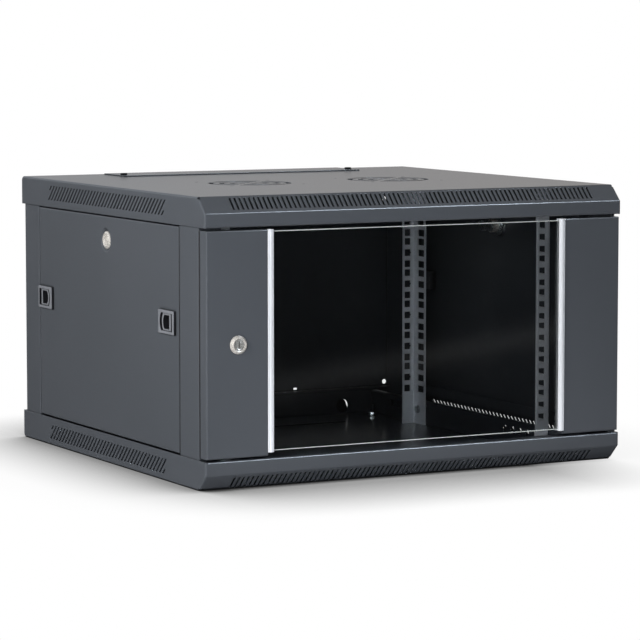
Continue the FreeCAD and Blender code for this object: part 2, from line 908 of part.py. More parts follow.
def lock_shell(face, inward, bezel_proud, bezel_seat, body_end):
    """A cam lock's housing: a tapered bezel and a round body, bored for the plug.

    face is the point on the lock's axis at the panel's face. The seat and the
    end are distances along inward, and the bezel stands out the other way.
    """
    seat = face + inward * bezel_seat
    bezel = cone(lock_bezel_radius, lock_bezel_top, seat, face - inward * bezel_proud)
    body = rod(lock_body_radius, seat, face + inward * body_end)
    shell = bezel.fuse(body).removeSplitter()
    bore = rod(plug_radius + plug_play, face - inward * (bezel_proud + 1), face + inward * (body_end + 1))
    return shell.cut(bore)


def lock_plug(face, inward, proud, end):
    """A cam lock's turning plug, with an upright slot for the key."""
    plug = rod(plug_radius, face - inward * proud, face + inward * end)
    across = Vector(inward.y, inward.x, 0)
    up = Vector(0, 0, key_slot_length / 2)
    reach = across * (key_slot_width / 2)
    start = face - inward * (proud + 1)
    corners = [start - reach - up, start + reach - up, start + reach + up, start - reach + up]
    return plug.cut(prism(corners, inward * (key_slot_depth + 1)))


def lock_cam(centre, inward, towards, length):
    """A cam plate on the plug's end, from its round eye to its far end."""
    across = inward.cross(towards).normalize()
    reach = across * (cam_width / 2)
    arm = prism([
        centre - reach, centre + reach,
        centre + towards * (length - 3) + reach, centre + towards * length + reach * 0.5,
        centre + towards * length - reach * 0.5, centre + towards * (length - 3) - reach,
    ], inward * cam_sheet)
    eye = rod(cam_width / 2 + 1, centre, centre + inward * cam_sheet)
    return arm.fuse(eye).removeSplitter()


def ring_nut(seat, inward):
    """A lock's ring nut behind the panel, with two flats."""
    end = seat + inward * nut_thickness
    nut = rod(nut_radius, seat, end)
    across = Vector(inward.y, inward.x, 0)
    flat = nut_radius * 0.88
    keep = prism([
        seat + across * flat + Vector(0, 0, nut_radius), seat - across * flat + Vector(0, 0, nut_radius),
        seat - across * flat - Vector(0, 0, nut_radius), seat + across * flat - Vector(0, 0, nut_radius),
    ], inward * nut_thickness)
    return nut.common(keep).cut(rod(lock_body_radius + thread_play, seat - inward, end + inward))


def door_lock():
    """The door lock's four pieces, with its cam down, clear of the post."""
    face = Vector(lock_side - half, front, lock_height)
    inward = Vector(0, 1, 0)
    cam_at = post_front + post_sheet + cam_gap
    housing = lock_shell(face, inward, lock_bezel_proud, 0, cam_at - 0.3)
    plug = lock_plug(face, inward, lock_bezel_proud - 0.4, cam_at)
    cam = lock_cam(face + inward * cam_at, inward, Vector(0, 0, -1), cam_length)
    nut = ring_nut(face + inward * door_sheet, inward)
    return housing, plug, cam, nut


def dish_profile(radius_rim, radius_floor, sheet):
    """The section of a stamped dish, from its rim to its floor, as (radius, depth)."""
    depth_in = dish_depth
    return [
        (radius_rim, 0), (radius_floor, depth_in), (lock_body_radius + thread_play, depth_in),
        (lock_body_radius + thread_play, depth_in + sheet), (radius_floor + 0.5, depth_in + sheet),
        (radius_rim, sheet),
    ]


def side_panel():
    """The right side panel: a shallow tray with the lock's dish and two latch windows."""
    x1 = inner_side
    x0 = inner_side - panel_fold
    y0, y1 = front + panel_front, front + panel_back
    body = block(x0, x1, y0, y1, panel_bottom, panel_top)
    outer_edges = [edge for edge in body.Edges if abs(edge.CenterOfMass.x - x1) < 0.01]
    body = body.makeFillet(small_bend, outer_edges)
    inner_face = [face for face in body.Faces if face.CenterOfMass.x < x0 + 0.01]
    tray = body.makeThickness(inner_face, -panel_sheet, 0.001)
    tongues = [
        block(
            landing_side - tongue_reach, x0 + 1, y - tongue_width / 2, y + tongue_width / 2,
            panel_bottom, panel_bottom + panel_sheet,
        )
        for y in tongue_places()
    ]
    tray = tray.fuse(tongues).removeSplitter()
    dish_axis = Vector(x1, front + panel_centre, panel_lock_height)
    tray = tray.cut(rod(dish_radius, dish_axis + Vector(1, 0, 0), dish_axis - Vector(2 * panel_sheet, 0, 0)))
    section = [
        dish_axis + Vector(-d, 0, r)
        for r, d in dish_profile(dish_radius, dish_radius - dish_depth, panel_sheet)
    ]
    dish = Part.Face(Part.makePolygon(section + section[:1])).revolve(dish_axis, Vector(1, 0, 0), 360)
    tray = tray.fuse(Part.Solid(dish) if dish.ShapeType == "Shell" else dish).removeSplitter()
    cutters = []
    for edge_y, inward, edge_gap in ((y0, 1, front_latch_edge), (y1, -1, rear_latch_edge)):
        cutters.append(latch_window(edge_y, inward, edge_gap))
        outer = x1 - bolt_inset() + bolt_play
        cutters.append(block(
            outer, outer - bolt_thickness - 2 * bolt_play, edge_y - inward, edge_y + inward * 2 * panel_sheet,
            latch_height_at - bolt_height / 2 - bolt_play, latch_height_at + bolt_height / 2 + bolt_play,
        ))
    return tray.cut(cutters)


def latch_window(edge_y, inward, edge_gap):
    """The window that a latch housing is snapped into, cut through the panel's face."""
    start = edge_y + inward * (edge_gap + latch_wall)
    end = edge_y + inward * (edge_gap + latch_length - latch_wall)
    reach = latch_height / 2 - latch_wall
    return block(
        inner_side - 2 * panel_sheet, inner_side + 1, start, end,
        latch_height_at - reach, latch_height_at + reach,
    )


def side_lock():
    """The right side panel lock's four pieces, with its cam level, clear of the landing."""
    face = Vector(inner_side, front + panel_centre, panel_lock_height)
    inward = Vector(-1, 0, 0)
    cam_at = inner_side - (landing_side - cover_sheet) + cam_gap
    housing = lock_shell(face, inward, panel_bezel_proud - dish_depth, dish_depth, cam_at - 0.3)
    plug = lock_plug(face, inward, panel_bezel_proud - dish_depth - 0.4, cam_at)
    cam = lock_cam(face + inward * cam_at, inward, Vector(0, 1, 0), panel_cam_length)
    nut = ring_nut(face + inward * (dish_depth + panel_sheet), inward)
    return housing, plug, cam, nut


def slider_outline(start, end, grow):
    """The D outline of a slider or its window, as a face in the side panel's plane.

    start is the straight side and end the tip of the curved side, as distances
    from the panel's edge. grow widens the outline on every side.
    """
    reach = finger_height / 2 + latch_wall / 2 + grow
    shoulder = end + grow - finger_bulge
    arc = Part.Arc(
        Vector(0, shoulder, reach), Vector(0, end + grow, 0), Vector(0, shoulder, -reach),
    ).toShape()
    sides = Part.makePolygon([
        Vector(0, shoulder, -reach), Vector(0, start - grow, -reach),
        Vector(0, start - grow, reach), Vector(0, shoulder, reach),
    ])
    return Part.Face(Part.Wire(Part.__sortEdges__([arc] + sides.Edges)))


def latch_frame(edge_gap):
    """A latch housing: a proud frame with a D window, and a snapped-in box behind.

    It is modelled with the panel's edge at Y = 0 and the panel's face at X = 0,
    with Y towards the middle of the panel and the latch's middle at Z = 0.
    """
    x_out, x_in = latch_proud, -latch_depth
    start, end = edge_gap, edge_gap + latch_length
    reach = latch_height / 2
    face_plate = block(0, x_out, start, end, -reach, reach)
    side_edges = [edge for edge in face_plate.Edges if abs(edge.CenterOfMass.x - x_out) < 0.01]
    face_plate = face_plate.makeFillet(1.2, side_edges)
    box_reach = reach - latch_wall - 0.2
    box = block(x_in, 0, start + latch_wall + 0.2, end - latch_wall - 0.2, -box_reach, box_reach)
    frame = face_plate.fuse(box).removeSplitter()
    window = slider_window(edge_gap)
    cut_through = slider_outline(window[0], window[1], 0).extrude(Vector(x_out + 2, 0, 0))
    cut_behind = slider_outline(window[0], window[1], 0).extrude(Vector(x_in + latch_wall, 0, 0))
    bolt_way = block(
        -bolt_inset() + slider_play, -bolt_inset() - bolt_thickness - slider_play, start - 1, window[0] + 1,
        -bolt_height / 2 - slider_play, bolt_height / 2 + slider_play,
    )
    return frame.cut([cut_through, cut_behind, bolt_way])


def slider_window(edge_gap):
    """The latch window's straight side and curved tip, as distances from the panel's edge."""
    start = edge_gap + latch_wall + latch_end_wall
    end = start + latch_groove + finger_side + finger_bulge + 2 * latch_wall + latch_crescent
    return start, end


def latch_slider(edge_gap):
    """A latch slider: a D cup for the finger, with the bolt that enters the post.

    It has the latch frame's own axes, and stands drawn back, clear of the post.
    """
    window = slider_window(edge_gap)
    start = window[0] + latch_throw + slider_play
    end = window[1] - latch_pull - slider_play
    outline = slider_outline(start, end, -slider_play)
    depth_in = latch_depth - latch_wall - 2 * slider_play
    top = latch_proud - 1.0
    cup = outline.copy()
    cup.translate(Vector(-depth_in, 0, 0))
    cup = cup.extrude(Vector(depth_in + top, 0, 0))
    pocket = slider_outline(start + latch_wall, end - latch_wall / 2, -latch_wall)
    pocket.translate(Vector(top - finger_depth, 0, 0))
    cup = cup.cut(pocket.extrude(Vector(finger_depth + 1, 0, 0)))
    bolt = block(
        -bolt_inset(), -bolt_inset() - bolt_thickness, panel_gap - 1.0, start + latch_wall,
        -bolt_height / 2, bolt_height / 2,
    )
    return cup.fuse(bolt).removeSplitter()


def place_latch(shape, rear):
    """Set a latch piece into the right side panel, at its front or its rear edge."""
    placed = shape.copy()
    if rear:
        placed = placed.mirror(Vector(0, 0, 0), Vector(0, 1, 0))
        placed.translate(Vector(inner_side, front + panel_back, latch_height_at))
    else:
        placed.translate(Vector(inner_side, front + panel_front, latch_height_at))
    return placed


def build():
    """All sub-parts by node name."""
    parts = {}
    parts["bottom_cover"] = bottom_cover()
    parts["top_cover"] = top_cover()
    for name, post in (("front", front_post()), ("rear", rear_post())):
        parts[f"{name}_right_post"] = post
        parts[f"{name}_left_post"] = left_copy(post)
    parts["back_panel"] = back_panel()
    beam = lower_beam()
    parts["lower_right_beam"] = beam
    parts["lower_left_beam"] = left_copy(beam)
    parts["upper_right_beam"] = upper_copy(beam)
    parts["upper_left_beam"] = left_copy(upper_copy(beam))
    for name, rail_y, inward in (("front", front_rail_at, 1), ("rear", rear_rail_at, -1)):
        rail = right_rail(front + rail_y, inward)
        parts[f"{name}_right_rail"] = rail
        parts[f"{name}_left_rail"] = left_copy(rail)
    parts["rail_screws"] = rail_screws()
    parts["top_cable_plate"] = cable_plate(top_plate_width, height).cut(knob_hole_cutters())
    parts["cable_plate_screws"] = cable_plate_screws()
    parts["bottom_cable_plate"] = cable_plate(bottom_plate_width, floor_top)
    parts["lower_hinge_plate"] = hinge_plate(rim - cover_sheet - hinge_plate_sheet)
    parts["upper_hinge_plate"] = hinge_plate(roof_rim + cover_sheet)
    parts["lower_hinge_pin"] = lower_hinge_pin()
    parts["upper_hinge_pin"] = upper_hinge_pin()
    parts["door_left_panel"] = door_left_panel()
    parts["door_right_panel"] = door_right_panel()
    trim = door_trim()
    parts["door_right_trim"] = trim
    parts["door_left_trim"] = left_copy(trim)
    parts["door_glass"] = door_glass()
    for name, piece in zip(("housing", "plug", "cam", "nut"), door_lock()):
        parts[f"door_lock_{name}"] = piece
    panel = side_panel()
    parts["right_side_panel"] = panel
    parts["left_side_panel"] = left_copy(panel)
    for name, piece in zip(("housing", "plug", "cam", "nut"), side_lock()):
        parts[f"right_lock_{name}"] = piece
        parts[f"left_lock_{name}"] = left_copy(piece)
    for end, edge_gap in (("front", front_latch_edge), ("rear", rear_latch_edge)):
        for name, piece in (("frame", latch_frame(edge_gap)), ("slider", latch_slider(edge_gap))):
            placed = place_latch(piece, end == "rear")
            parts[f"right_{end}_latch_{name}"] = placed
            parts[f"left_{end}_latch_{name}"] = left_copy(placed)
    return parts


os.makedirs("parts", exist_ok=True)
for node, shape in build().items():
    shape.exportStep(f"parts/{node}.step")
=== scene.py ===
import math

import bmesh
import bpy
import numpy as np
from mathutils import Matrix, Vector


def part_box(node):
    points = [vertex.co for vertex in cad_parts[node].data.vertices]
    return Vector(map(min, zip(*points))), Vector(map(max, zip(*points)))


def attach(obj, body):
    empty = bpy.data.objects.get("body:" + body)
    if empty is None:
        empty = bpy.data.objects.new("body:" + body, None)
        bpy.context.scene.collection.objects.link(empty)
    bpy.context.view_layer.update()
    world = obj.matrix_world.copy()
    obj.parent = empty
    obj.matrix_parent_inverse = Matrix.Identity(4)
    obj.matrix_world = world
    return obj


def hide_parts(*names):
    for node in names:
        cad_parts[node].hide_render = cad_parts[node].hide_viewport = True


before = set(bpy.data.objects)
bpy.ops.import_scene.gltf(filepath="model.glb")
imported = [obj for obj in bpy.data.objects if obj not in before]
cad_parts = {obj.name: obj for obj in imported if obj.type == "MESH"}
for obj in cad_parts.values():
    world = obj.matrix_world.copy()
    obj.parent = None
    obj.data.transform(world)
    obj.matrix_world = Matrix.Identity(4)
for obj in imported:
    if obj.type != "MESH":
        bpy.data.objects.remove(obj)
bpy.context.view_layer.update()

# Folded covers, top and bottom
# Each is one blank of 1.5 mm cold-rolled sheet, punched with its slots and fan grilles, folded
# into a shallow tray with a sloped front, then sprayed with dark blue-grey powder and baked.
# The coat builds up round every cut edge, so the edges are soft and catch the light.


def bare_material(name):
    """A node material, with its tree and its Principled shader."""
    material = bpy.data.materials.new(name)
    material.use_nodes = True
    tree = material.node_tree
    return material, tree, tree.nodes["Principled BSDF"]


def cloud(tree, size, detail=2.0, stretch=(1.0, 1.0, 1.0)):
    """Noise on the piece's own place, its lumps about the given size in metres."""
    place = tree.nodes.new("ShaderNodeTexCoord")
    mapping = tree.nodes.new("ShaderNodeMapping")
    mapping.inputs["Scale"].default_value = stretch
    tree.links.new(place.outputs["Object"], mapping.inputs["Vector"])
    texture = tree.nodes.new("ShaderNodeTexNoise")
    texture.inputs["Scale"].default_value = 1.0 / size
    texture.inputs["Detail"].default_value = detail
    tree.links.new(mapping.outputs["Vector"], texture.inputs["Vector"])
    return texture.outputs["Fac"]


def ranged(tree, value, start, end, low, high):
    """A number that runs from low to high while the value runs from start to end."""
    span = tree.nodes.new("ShaderNodeMapRange")
    span.inputs["From Min"].default_value = start
    span.inputs["From Max"].default_value = end
    span.inputs["To Min"].default_value = low
    span.inputs["To Max"].default_value = high
    tree.links.new(value, span.inputs["Value"])
    return span.outputs["Result"]


def between(tree, factor, low, high):
    """A number that runs from low to high over the middle half of the noise."""
    return ranged(tree, factor, 0.25, 0.75, low, high)


def two_tones(tree, factor, dark, light):
    """A colour that runs from one linear colour to another with the noise."""
    ramp = tree.nodes.new("ShaderNodeValToRGB")
    ramp.color_ramp.elements[0].position = 0.3
    ramp.color_ramp.elements[0].color = (*dark, 1.0)
    ramp.color_ramp.elements[1].position = 0.7
    ramp.color_ramp.elements[1].color = (*light, 1.0)
    tree.links.new(factor, ramp.inputs["Fac"])
    return ramp.outputs["Color"]


def grained(tree, shader, height, depth, edge=0.0):
    """A grain pressed into the surface, its depth in metres, over edges eased by a radius."""
    bump = tree.nodes.new("ShaderNodeBump")
    bump.inputs["Strength"].default_value = 0.6
    bump.inputs["Distance"].default_value = depth
    tree.links.new(height, bump.inputs["Height"])
    if edge > 0:
        eased = tree.nodes.new("ShaderNodeBevel")
        eased.samples = 6
        eased.inputs["Radius"].default_value = edge
        tree.links.new(eased.outputs["Normal"], bump.inputs["Normal"])
        tree.links.new(eased.outputs["Normal"], shader.inputs["Coat Normal"])
    tree.links.new(bump.outputs["Normal"], shader.inputs["Normal"])


def feed(tree, entry, value):
    """Link a socket into an entry, or set the entry to a plain value."""
    if isinstance(value, bpy.types.NodeSocket):
        tree.links.new(value, entry)
    else:
        entry.default_value = value


def mixed(tree, kind, share, first, second):
    """The first value where the share is 0 and the second where it is 1; kind is FLOAT or RGBA."""
    mix = tree.nodes.new("ShaderNodeMix")
    mix.data_type = kind
    feed(tree, mix.inputs["Factor"], share)
    feed(tree, mix.inputs["A"], first)
    feed(tree, mix.inputs["B"], second)
    return mix.outputs["Result"]


def painted_crevice_shade(tree, colour, reach, samples, closed, opened, least):
    """The colour with painted shade: nearly black where walls stand close on all sides, as in a slot
    or a seam.

    The share of the open sky within reach runs from closed to opened, and the share of the
    colour that is left runs with it from least to all.
    """
    sky = tree.nodes.new("ShaderNodeAmbientOcclusion")
    sky.samples = samples
    sky.inputs["Distance"].default_value = reach
    left_over = ranged(tree, sky.outputs["AO"], closed, opened, least, 1.0)
    return mixed(tree, "RGBA", left_over, (0.004, 0.004, 0.005, 1.0), colour)


paint, tree, shader = bare_material("dark powder coat")
coat = two_tones(tree, cloud(tree, 0.25), (0.056, 0.061, 0.069), (0.062, 0.067, 0.076))
# Painted shade: slots and seams are darkened to near black inside, where walls stand close.
with_painted_shade = painted_crevice_shade(tree, coat, reach=0.004, samples=8, closed=0.45, opened=0.85, least=0.04)
tree.links.new(with_painted_shade, shader.inputs["Base Color"])
tree.links.new(between(tree, cloud(tree, 0.0012), 0.38, 0.46), shader.inputs["Roughness"])
grained(tree, shader, cloud(tree, 0.0009), 0.000004, 0.0009)
shader.inputs["Specular IOR Level"].default_value = 0.4
shader.inputs["Coat Weight"].default_value = 0.6
shader.inputs["Coat Roughness"].default_value = 0.17

sharp_bend = math.radians(35)
same_place = 0.000002


def merged_copy(node, body, material, edge=0.0):
    """A copy of a solid whose loose triangles are merged, its bends shaded smooth.

    Each corner's normal is the mean of its faces' normals weighted by their areas, so flat
    faces stay flat beside a bend. With an edge, each edge sharper than 35 degrees is rounded
    off by that width.
    """
    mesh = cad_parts[node].data.copy()
    mesh.name = node + "_finished"
    merged = bmesh.new()
    merged.from_mesh(mesh)
    bmesh.ops.remove_doubles(merged, verts=merged.verts, dist=same_place)
    if edge > 0:
        flat = math.radians(0.5)
        bmesh.ops.dissolve_limit(merged, angle_limit=flat, verts=merged.verts, edges=merged.edges)
    merged.to_mesh(mesh)
    merged.free()
    if "custom_normal" in mesh.attributes:
        mesh.attributes.remove(mesh.attributes["custom_normal"])
    mesh.shade_smooth()
    mesh.set_sharp_from_angle(angle=sharp_bend)
    mesh.materials.clear()
    mesh.materials.append(material)
    piece = bpy.data.objects.new(node + "_finished", mesh)
    bpy.context.scene.collection.objects.link(piece)
    if edge > 0:
        softened = piece.modifiers.new("soft edges", "BEVEL")
        softened.width = edge
        softened.segments = 2
        softened.limit_method = "ANGLE"
        softened.angle_limit = sharp_bend
    evened = piece.modifiers.new("even normals", "WEIGHTED_NORMAL")
    evened.keep_sharp = True
    evened.weight = 100
    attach(piece, body)
    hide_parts(node)
    return piece


for cover in ("bottom_cover", "top_cover"):
    merged_copy(cover, "frame", paint)


# Corner posts
# Four folded uprights, bolted to both covers through their end tabs. Their landings close the
# gap behind the side panels.
for post in ("front_left_post", "front_right_post", "rear_left_post", "rear_right_post"):
    merged_copy(post, "frame", paint)


# Nuts of the frame
# Zinc-plated hexagon nuts clamp the posts' end tabs to the covers, and one more clamps a cable
# lug on the earth stud. Each is pressed from bar, with its corners turned off.


def laid(name, points, material, across=False):
    """A mesh over a grid of points (rows, columns, 3), one face between each four neighbours.

    A corner's number is its row times the number of columns plus its column. across joins the
    end of every row to its start.
    """
    rows, columns = points.shape[:2]
    row = np.arange(rows - 1)[:, None]
    column = np.arange(columns if across else columns - 1)[None, :]
    next_row = row + 1
    next_column = (column + 1) % columns
    corners = np.stack([
        row * columns + column,
        row * columns + next_column,
        next_row * columns + next_column,
        next_row * columns + column,
    ], axis=-1)
    mesh = bpy.data.meshes.new(name)
    mesh.from_pydata(points.reshape(-1, 3).tolist(), [], corners.reshape(-1, 4).tolist())
    sealed = bmesh.new()
    sealed.from_mesh(mesh)
    bmesh.ops.remove_doubles(sealed, verts=sealed.verts, dist=same_place)
    bmesh.ops.dissolve_degenerate(sealed, edges=sealed.edges, dist=0.000001)
    bmesh.ops.recalc_face_normals(sealed, faces=sealed.faces)
    sealed.to_mesh(mesh)
    sealed.free()
    mesh.shade_smooth()
    mesh.set_sharp_from_angle(angle=sharp_bend)
    mesh.materials.append(material)
    piece = bpy.data.objects.new(name, mesh)
    bpy.context.scene.collection.objects.link(piece)
    return piece


def square_to(axis):
    """The axis, and two directions at right angles to it and to each other."""
    axis = np.array(axis, dtype=float)
    side = np.cross(axis, (0.3, 0.5, 0.8))
    side = side / np.linalg.norm(side)
    return axis, side, np.cross(axis, side)


def turned(profile, steps, foot, axis, flats=0, depth=0.0):
    """Points of a profile turned about an axis.

    Each (radius, rise) of the profile goes round the axis at that radius, at that rise from the
    foot. With flats, the radius follows that many straight sides or ridges, depth deep.
    """
    radius, rise = np.array(profile, dtype=float).T
    axis, side, other = square_to(axis)
    turn = np.linspace(0.0, 2.0 * np.pi, steps, endpoint=False)
    spokes = np.cos(turn)[:, None] * side + np.sin(turn)[:, None] * other
    reach = 1.0 - depth * (0.5 - 0.5 * np.cos(flats * turn))
    rings = radius[:, None, None] * (spokes * reach[:, None])[None]
    return np.array(foot) + rise[:, None, None] * axis + rings


def mottled(name, size, dark, light, fine, smoothest, roughest):
    """A material whose colour and roughness drift, in lumps of the two given sizes in metres."""
    material, tree, shader = bare_material(name)
    tree.links.new(two_tones(tree, cloud(tree, size), dark, light), shader.inputs["Base Color"])
    tree.links.new(between(tree, cloud(tree, fine), smoothest, roughest), shader.inputs["Roughness"])
    return material, tree, shader


zinc, tree, shader = mottled(
    "zinc plate", 0.006, (0.42, 0.45, 0.48), (0.60, 0.63, 0.66), 0.002, 0.22, 0.36)
grained(tree, shader, cloud(tree, 0.0006), 0.00002)
shader.inputs["Metallic"].default_value = 1.0


def hexagon_nut(name, foot, axis, width):
    """A nut: a ring profile with turned-off corners, taken round six straight sides."""
    outer = width / 2 / math.cos(math.radians(30))
    bore = 0.52 * width / 2
    height = 0.5 * width
    profile = [
        (bore, 0.0), (outer * 0.92, 0.0), (outer, height * 0.12), (outer, height * 0.88),
        (outer * 0.92, height), (bore * 1.15, height), (bore, height * 0.85), (bore, 0.0),
    ]
    flats_cut = 1.0 - math.cos(math.radians(30))
    piece = laid(name, turned(profile, 24, foot, axis, 6, flats_cut), zinc, across=True)
    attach(piece, "frame")


nut_width = 0.010
post_outer = 0.2974
tab_nut_inset = 0.018
tab_nut_shift = 0.012
tab_top = 0.0030
roof_tab = 0.361 - tab_top
for side, name in ((-1, "left"), (1, "right")):
    for end in ("front", "rear"):
        low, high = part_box(f"{end}_{name}_post")
        middle = (low[1] + high[1]) / 2 + (-tab_nut_shift if end == "front" else tab_nut_shift)
        across = side * (post_outer - tab_nut_inset)
        hexagon_nut(f"{end}_{name}_floor_nut", (across, middle, tab_top), (0, 0, 1), nut_width)
        hexagon_nut(f"{end}_{name}_roof_nut", (across, middle, roof_tab), (0, 0, -1), nut_width)

earth_stud_foot = (0.230, 0.253, 0.0015)
hexagon_nut("earth_nut", earth_stud_foot, (0, 0, 1), nut_width)


# Back panel
# A flat sheet with a stiffening fold along its top and bottom, screwed to the rear posts with
# three black pan-head screws on each side. Four small round holes take the wall screws.
merged_copy("back_panel", "frame", paint)

black_screw, tree, shader = mottled(
    "blackened screw", 0.003, (0.012, 0.013, 0.015), (0.022, 0.023, 0.026), 0.001, 0.3, 0.45)
shader.inputs["Metallic"].default_value = 0.6


def disc_grid(count):
    """A square grid bent into a disc, and how far each point stands from its middle.

    x = u sqrt(1 - v^2/2) and y = v sqrt(1 - u^2/2), with u and v from -1 to 1.
    """
    u, v = np.meshgrid(np.linspace(-1, 1, count), np.linspace(-1, 1, count))
    x = u * np.sqrt(1 - v * v / 2)
    y = v * np.sqrt(1 - u * u / 2)
    return x, y, np.sqrt(x * x + y * y)


def cross_head(name, seat, axis, radius, height, material):
    """A pan head with a cross recess.

    The height over the disc is a flattened dome, h (1 - r^6), less a recess along both arms of
    the cross.
    """
    x, y, distance = disc_grid(33)
    dome = 1 - distance ** 6
    arm = np.minimum(np.abs(x), np.abs(y))
    recess = np.clip((0.20 - arm) / 0.08, 0, 1) * np.clip((0.62 - distance) / 0.1, 0, 1)
    rise = height * (dome - 0.8 * recess)
    axis, side, other = square_to(axis)
    spread = radius * (x[..., None] * side + y[..., None] * other)
    return laid(name, np.array(seat) + spread + rise[..., None] * axis, material)


back_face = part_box("back_panel")[1][1]
back_screw_column = 0.284
for side, name in ((-1, "left"), (1, "right")):
    for place, height in (("low", 0.0675), ("middle", 0.1805), ("high", 0.2935)):
        seat = (side * back_screw_column, back_face, height)
        screw = cross_head(f"back_{name}_{place}_screw", seat, (0, 1, 0), 0.0042, 0.0022, black_screw)
        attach(screw, "frame")


# Beams and mounting rails
# Four channels run from front to back, two on the floor and two under the roof. The four
# upright rails are folded from 2 mm sheet, punched with square holes three to a unit, and
# plated pale blue-grey. The plating follows the rolled grain of the sheet.
rail_zinc, tree, shader = bare_material("zinc plated rail")
rolled = cloud(tree, 0.0014, 3.0, (1.0, 1.0, 0.03))
tree.links.new(two_tones(tree, cloud(tree, 0.02), (0.82, 0.84, 0.89), (0.91, 0.93, 0.97)),
               shader.inputs["Base Color"])
tree.links.new(between(tree, rolled, 0.34, 0.48), shader.inputs["Roughness"])
grained(tree, shader, rolled, 0.00001, 0.0006)
shader.inputs["Metallic"].default_value = 0.25

beam_dark, tree, shader = mottled(
    "painted beam", 0.1, (0.030, 0.033, 0.040), (0.036, 0.040, 0.048), 0.0012, 0.30, 0.42)
grained(tree, shader, cloud(tree, 0.0009), 0.000004, 0.0005)

for beam in ("lower_left_beam", "lower_right_beam", "upper_left_beam", "upper_right_beam"):
    merged_copy(beam, "frame", beam_dark)

# Each side flange is punched with holes 18.5 mm deep, wider than the square ones in front. In
# the copy, the edges of the solid's holes move out to there. All are measured from the corner.
rail_corners = {"front": -0.206, "rear": 0.156}
flange_inner = 0.2425
solid_hole = (0.01575, 0.02525)
punched_hole = (0.0115, 0.0300)
on_the_edge = 0.00005
for end, corner in rail_corners.items():
    for name in ("left", "right"):
        punched = merged_copy(f"{end}_{name}_rail", "frame", rail_zinc).data
        spots = np.empty(len(punched.vertices) * 3)
        punched.vertices.foreach_get("co", spots)
        spots = spots.reshape(-1, 3)
        away = np.abs(spots[:, 1] - corner)
        back = np.sign(spots[:, 1] - corner)
        flange = np.abs(spots[:, 0]) > flange_inner
        for solid_at, punched_at in zip(solid_hole, punched_hole):
            edge = flange & (np.abs(away - solid_at) < on_the_edge)
            spots[edge, 1] = corner + back[edge] * punched_at
        punched.vertices.foreach_set("co", spots.reshape(-1))


def refinished(node, material):
    """Give a solid its material, and leave its shape as it is."""
    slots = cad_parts[node].data.materials
    slots.clear()
    slots.append(material)


refinished("rail_screws", zinc)
screw_head_face = 0.2396
rail_nut_seat = 0.2466
rail_screw_depths = (-0.191, 0.141)
rail_screw_heights = (0.0225, 0.3385)
for side, name in ((-1, "left"), (1, "right")):
    for depth in rail_screw_depths:
        for height in rail_screw_heights:
            mark = f"{int(depth * 1000)}_{int(height * 10000)}"
            seat = (side * screw_head_face, depth, height)
            cross = cross_head(
                f"rail_{name}_screw_face_{mark}", seat, (-side, 0, 0), 0.0054, 0.0005, zinc)
            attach(cross, "frame")
            hexagon_nut(f"rail_{name}_nut_{mark}", (side * rail_nut_seat, depth, height),
                        (side, 0, 0), nut_width)


# Cable entries
# A plate covers the cable opening in each cover. The top one is held by two hand-turned
# screws with ridged heads, and the hole in the rear skirt has a thin rubber diaphragm.
plate_edge = 0.0004
merged_copy("top_cable_plate", "frame", paint, plate_edge)
merged_copy("bottom_cable_plate", "frame", paint, plate_edge)

knob_low, knob_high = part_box("cable_plate_screws")
knob_radius = 0.0048
knob_seat = 0.3625
knob_rise = 0.0024
knob_profile = [
    (0.002, -0.005), (0.002, 0.0), (knob_radius * 0.86, 0.0), (knob_radius, knob_rise * 0.12),
    (knob_radius, knob_rise * 0.78), (knob_radius * 0.88, knob_rise), (knob_radius * 0.45, knob_rise),
    (knob_radius * 0.40, knob_rise * 0.75), (0.0, knob_rise * 0.75),
]
knob_depth = (knob_low[1] + knob_high[1]) / 2
knob_reach = knob_high[0] - (knob_high[1] - knob_low[1]) / 2
for side, name in ((-1, "left"), (1, "right")):
    foot = (side * knob_reach, knob_depth, knob_seat)
    points = turned(knob_profile, 96, foot, (0, 0, 1), 24, 0.05)
    knob = laid(f"cable_plate_{name}_knob", points, black_screw, across=True)
    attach(knob, "frame")
    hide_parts("cable_plate_screws")

rubber, tree, shader = mottled(
    "black rubber", 0.004, (0.010, 0.010, 0.011), (0.018, 0.018, 0.019), 0.0015, 0.55, 0.75)
grained(tree, shader, cloud(tree, 0.0008), 0.00003)

# The diaphragm's rim is a circle of 9.6 mm, drawn in on one side where its flap stands open. Its
# face is dished a little, with the square of the distance from the middle.
hole = (0.200, 0.2885, 0.014)
turn = np.linspace(0.0, 2.0 * np.pi, 49)[:-1]
reach = np.linspace(0.0, 1.0, 7)[:, None]
rim = 0.0096 - 0.0042 * np.clip(np.cos(turn - 0.35), 0, 1) ** 2
dished = np.repeat(hole[1] - 0.0006 - 0.0008 * reach ** 2, len(turn), axis=1)
sheet = np.stack([
    hole[0] + reach * rim * np.cos(turn), dished, hole[2] + reach * rim * np.sin(turn),
], axis=-1)
diaphragm = laid("cable_hole_diaphragm", sheet, rubber, across=True)
thickness = diaphragm.modifiers.new("rubber", "SOLIDIFY")
thickness.thickness = 0.0008
thickness.offset = 0.0
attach(diaphragm, "frame")


# Hinges
# Two thick plates are welded behind the door lips, and a plated pin turns in each. The upper
# pin is pulled down by its lever to lift the door off.
for plate in ("lower_hinge_plate", "upper_hinge_plate"):
    refinished(plate, paint)
for pin in ("lower_hinge_pin", "upper_hinge_pin"):
    refinished(pin, zinc)


# Door
# Two folded steel panels stand at the sides of a 4 mm pane of toughened glass. Two bright
# extruded strips grip the edges of the pane, and five small screws hold each from behind.
merged_copy("door_left_panel", "door", paint)
merged_copy("door_right_panel", "door", paint)

